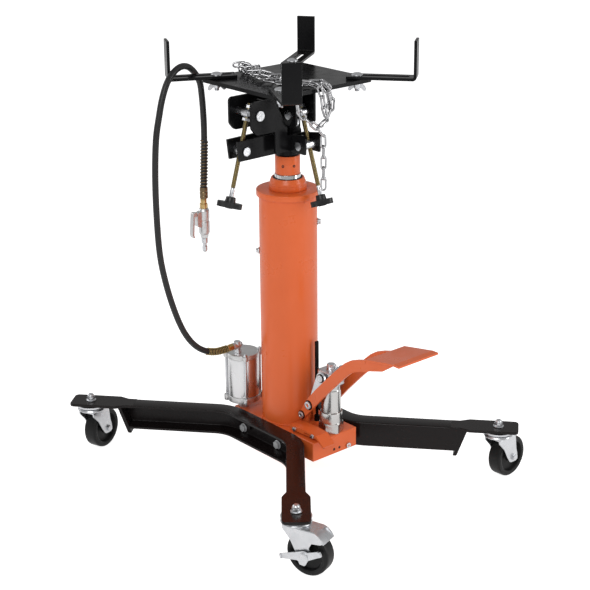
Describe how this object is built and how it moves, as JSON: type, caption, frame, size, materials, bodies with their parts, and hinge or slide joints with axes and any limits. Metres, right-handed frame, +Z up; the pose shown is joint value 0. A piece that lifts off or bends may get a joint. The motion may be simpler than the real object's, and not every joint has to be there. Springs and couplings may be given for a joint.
{
  "type": "transmission jack",
  "caption": "Upright two-stage hydraulic lift on caster legs with a foot pump, air motor, hose and a tilting saddle with slotted hooked arms and a load chain.",
  "frame": {"origin": "centre of the overall box at floor level", "axes": "+Z up; +X across the base's short side, away from the leg whose caster has the brake; the foot pedal is on the -Y side"},
  "size_m": [0.6858, 0.8118, 0.9304],
  "materials": {
    "orange_enamel": "gloss",
    "black_enamel": "gloss",
    "zinc_plate": "bright zinc",
    "yellow_zinc": "yellow zinc",
    "chrome": "polished",
    "aluminium": "machined",
    "brass": "dull",
    "black_plastic": "satin",
    "tyre_polymer": "satin",
    "hose_rubber": "matte"
  },
  "bodies": {
    "chassis": {"base_block": "orange_enamel", "leg_left": "black_enamel", "leg_right": "black_enamel", "reservoir_tube": "orange_enamel", "reservoir_cap": "orange_enamel", "gland_nut": "orange_enamel", "filler_plug": "zinc_plate", "pedal_bracket": "orange_enamel", "pump_cylinder": "chrome", "air_motor_base": "aluminium", "air_motor_barrel": "aluminium", "air_motor_cap": "aluminium", "air_elbow": "zinc_plate", "hose_guard_lower": "brass", "hose_tube": "hose_rubber", "hose_guard_upper": "brass", "air_valve_body": "aluminium", "air_plug": "zinc_plate"},
    "first_stage": {"ram_stage_one": "chrome"},
    "second_stage": {"ram_stage_two": "chrome", "ram_sleeve": "orange_enamel"},
    "head": {"head_yoke": "black_enamel"},
    "tilt_frame": {"tilt_bracket": "black_enamel", "side_tilt_pin": "zinc_plate"},
    "saddle": {"saddle_bracket": "black_enamel", "saddle_plate": "black_enamel", "fore_tilt_pin": "zinc_plate", "load_chain": "zinc_plate"},
    "left_lower_trunnion": {"lower_trunnion_left": "zinc_plate"},
    "left_upper_trunnion": {"upper_trunnion_left": "zinc_plate"},
    "left_screw": {"tilt_screw_left": "yellow_zinc", "tilt_knob_left": "black_plastic"},
    "right_lower_trunnion": {"lower_trunnion_right": "zinc_plate"},
    "right_upper_trunnion": {"upper_trunnion_right": "zinc_plate"},
    "right_screw": {"tilt_screw_right": "yellow_zinc", "tilt_knob_right": "black_plastic"},
    "pedal": {"pedal_frame": "orange_enamel"},
    "link": {"pump_link": "zinc_plate"},
    "plunger": {"pump_plunger": "zinc_plate"},
    "release": {"release_lever": "black_enamel"},
    "release_foot": {"release_pedal": "orange_enamel"},
    "motor_piston": {"air_motor_piston": "aluminium"},
    "valve_lever": {"air_valve_lever": "aluminium"},
    "arm_bolt_left": {"arm_bolt_left": "zinc_plate"},
    "arm_left": {"saddle_arm_left": "black_enamel"},
    "arm_bolt_right": {"arm_bolt_right": "zinc_plate"},
    "arm_right": {"saddle_arm_right": "black_enamel"},
    "arm_bolt_back": {"arm_bolt_back": "zinc_plate"},
    "arm_back": {"saddle_arm_back": "black_enamel"},
    "arm_bolt_front": {"arm_bolt_front": "zinc_plate"},
    "arm_front": {"saddle_arm_front": "black_enamel"},
    "caster_left": {"caster_fork_left": "zinc_plate"},
    "wheel_left": {"caster_wheel_left": "tyre_polymer"},
    "caster_right": {"caster_fork_right": "zinc_plate"},
    "wheel_right": {"caster_wheel_right": "tyre_polymer"},
    "caster_front": {"caster_fork_front": "zinc_plate"},
    "wheel_front": {"caster_wheel_front": "tyre_polymer"},
    "caster_brake": {"caster_brake_lever": "zinc_plate"},
    "caster_back": {"caster_fork_back": "zinc_plate"},
    "wheel_back": {"caster_wheel_back": "tyre_polymer"}
  },
  "joints": [
    {"name": "first_stage_lift", "type": "slide", "parent": "chassis", "child": "first_stage", "axis": [0, 0, 1], "range_m": [0, 0.45], "deforming": ["hose_tube", "hose_guard_upper", "load_chain"]},
    {"name": "second_stage_lift", "type": "slide", "parent": "first_stage", "child": "second_stage", "axis": [0, 0, 1], "range_m": [0, 0.45]},
    {"name": "head_swivel", "type": "hinge", "parent": "second_stage", "child": "head", "pos_m": [-0.0164, 0.0154, 0.694], "axis": [0, 0, 1], "continuous": true},
    {"name": "side_tilt", "type": "hinge", "parent": "head", "child": "tilt_frame", "pos_m": [-0.0164, 0.0154, 0.765], "axis": [0, 1, 0], "range_deg": [-8, 8]},
    {"name": "fore_tilt", "type": "hinge", "parent": "tilt_frame", "child": "saddle", "pos_m": [-0.0164, 0.0154, 0.8], "axis": [1, 0, 0], "range_deg": [-8, 8]},
    {"name": "left_lower_trunnion_turn", "type": "hinge", "parent": "head", "child": "left_lower_trunnion", "pos_m": [-0.1379, 0.0154, 0.724], "axis": [0, 1, 0], "range_deg": [-1.01, 1.01]},
    {"name": "left_upper_trunnion_turn", "type": "hinge", "parent": "tilt_frame", "child": "left_upper_trunnion", "pos_m": [-0.1174, 0.0154, 0.795], "axis": [0, 1, 0], "range_deg": [-9.01, 9.01]},
    {"name": "left_screw_turn", "type": "hinge", "parent": "left_upper_trunnion", "child": "left_screw", "pos_m": [-0.1174, 0.0154, 0.795], "axis": [-0.2774, 0, -0.9608], "continuous": true},
    {"name": "right_lower_trunnion_turn", "type": "hinge", "parent": "tilt_frame", "child": "right_lower_trunnion", "pos_m": [-0.0084, -0.0416, 0.724], "axis": [1, 0, 0], "range_deg": [-4.03, 4.03]},
    {"name": "right_upper_trunnion_turn", "type": "hinge", "parent": "saddle", "child": "right_upper_trunnion", "pos_m": [-0.0084, -0.0206, 0.786], "axis": [1, 0, 0], "range_deg": [-12.03, 12.03]},
    {"name": "right_screw_turn", "type": "hinge", "parent": "right_upper_trunnion", "child": "right_screw", "pos_m": [-0.0084, -0.0206, 0.786], "axis": [0, -0.3208, -0.9471], "continuous": true},
    {"name": "arm_swivel_left", "type": "hinge", "parent": "saddle", "child": "arm_bolt_left", "pos_m": [-0.1164, 0.1134, 0.85], "axis": [0, 0, 1], "range_deg": [-35, 35]},
    {"name": "arm_reach_left", "type": "slide", "parent": "arm_bolt_left", "child": "arm_left", "axis": [-0.8829, 0.4695, 0], "range_m": [-0.038, 0.02]},
    {"name": "arm_swivel_right", "type": "hinge", "parent": "saddle", "child": "arm_bolt_right", "pos_m": [0.0836, -0.0826, 0.85], "axis": [0, 0, 1], "range_deg": [-35, 35]},
    {"name": "arm_reach_right", "type": "slide", "parent": "arm_bolt_right", "child": "arm_right", "axis": [0.6225, -0.7826, 0], "range_m": [-0.06, 0.005]},
    {"name": "arm_swivel_back", "type": "hinge", "parent": "saddle", "child": "arm_bolt_back", "pos_m": [0.0836, 0.1134, 0.85], "axis": [0, 0, 1], "range_deg": [-35, 35]},
    {"name": "arm_reach_back", "type": "slide", "parent": "arm_bolt_back", "child": "arm_back", "axis": [0.829, 0.5592, 0], "range_m": [-0.05, 0.01]},
    {"name": "arm_swivel_front", "type": "hinge", "parent": "saddle", "child": "arm_bolt_front", "pos_m": [-0.1164, -0.0826, 0.85], "axis": [0, 0, 1], "range_deg": [-35, 35]},
    {"name": "arm_reach_front", "type": "slide", "parent": "arm_bolt_front", "child": "arm_front", "axis": [-0.4924, -0.8704, 0], "range_m": [-0.05, 0.01]},
    {"name": "pedal_stroke", "type": "hinge", "parent": "chassis", "child": "pedal", "pos_m": [-0.0164, -0.0506, 0.146], "axis": [1, 0, 0], "range_deg": [0, 25], "stiffness_Nm_per_rad": 12, "springref_deg": -34.38},
    {"name": "link_turn", "type": "hinge", "parent": "pedal", "child": "link", "pos_m": [-0.0164, -0.0726, 0.175], "axis": [1, 0, 0], "range_deg": [-35.41, 1.5]},
    {"name": "pump_stroke", "type": "slide", "parent": "chassis", "child": "plunger", "axis": [0, 0, 1], "range_m": [-0.008, 0.0005]},
    {"name": "release_turn", "type": "hinge", "parent": "chassis", "child": "release", "pos_m": [0.0006, -0.0526, 0.125], "axis": [0, 0, 1], "range_deg": [0, 90], "stiffness_Nm_per_rad": 0.05, "springref_deg": -5.73},
    {"name": "release_pedal_press", "type": "hinge", "parent": "chassis", "child": "release_foot", "pos_m": [-0.0164, -0.0621, 0.1255], "axis": [1, 0, 0], "range_deg": [0, 5], "stiffness_Nm_per_rad": 2, "springref_deg": -2.86},
    {"name": "air_motor_stroke", "type": "slide", "parent": "chassis", "child": "motor_piston", "axis": [0, 0, 1], "range_m": [0, 0.055]},
    {"name": "air_valve_squeeze", "type": "hinge", "parent": "chassis", "child": "valve_lever", "pos_m": [-0.1454, 0.1629, 0.56], "axis": [0, 1, 0], "range_deg": [-8, 0], "stiffness_Nm_per_rad": 0.5, "springref_deg": 17.19},
    {"name": "caster_swivel_left", "type": "hinge", "parent": "chassis", "child": "caster_left", "pos_m": [-0.2984, 0.3599, 0.0448], "axis": [0, 0, 1], "continuous": true},
    {"name": "wheel_roll_left", "type": "hinge", "parent": "caster_left", "child": "wheel_left", "pos_m": [-0.26905, 0.36989, 0.0448], "axis": [-0.3223, 0.9466, 0], "continuous": true},
    {"name": "caster_swivel_right", "type": "hinge", "parent": "chassis", "child": "caster_right", "pos_m": [0.2656, -0.3291, 0.0448], "axis": [0, 0, 1], "continuous": true},
    {"name": "wheel_roll_right", "type": "hinge", "parent": "caster_right", "child": "wheel_right", "pos_m": [0.29652, -0.32694, 0.0448], "axis": [-0.0698, 0.9976, 0], "continuous": true},
    {"name": "caster_swivel_front", "type": "hinge", "parent": "chassis", "child": "caster_front", "pos_m": [-0.2984, -0.3291, 0.0448], "axis": [0, 0, 1], "continuous": true},
    {"name": "wheel_roll_front", "type": "hinge", "parent": "caster_front", "child": "wheel_front", "pos_m": [-0.28903, -0.35865, 0.0448], "axis": [0.9532, 0.3024, 0], "continuous": true},
    {"name": "caster_brake_press", "type": "hinge", "parent": "caster_front", "child": "caster_brake", "pos_m": [-0.28903, -0.35865, 0.0448], "axis": [0.9532, 0.3024, 0], "range_deg": [-20, 20]},
    {"name": "caster_swivel_back", "type": "hinge", "parent": "chassis", "child": "caster_back", "pos_m": [0.2656, 0.3599, 0.0448], "axis": [0, 0, 1], "continuous": true},
    {"name": "wheel_roll_back", "type": "hinge", "parent": "caster_back", "child": "wheel_back", "pos_m": [0.29592, 0.36634, 0.0448], "axis": [-0.2079, 0.9781, 0], "continuous": true}
  ],
  "couplings": [
    {"joint": "left_lower_trunnion_turn", "follows": "side_tilt", "ratio": -0.001803},
    {"joint": "left_upper_trunnion_turn", "follows": "side_tilt", "ratio": -1.0018},
    {"joint": "right_lower_trunnion_turn", "follows": "fore_tilt", "ratio": -0.3793},
    {"joint": "right_upper_trunnion_turn", "follows": "fore_tilt", "ratio": -1.3793},
    {"joint": "link_turn", "follows": "pedal_stroke", "ratio": -1.3564},
    {"joint": "pump_stroke", "follows": "pedal_stroke", "m_per_rad": -0.017089}
  ]
}
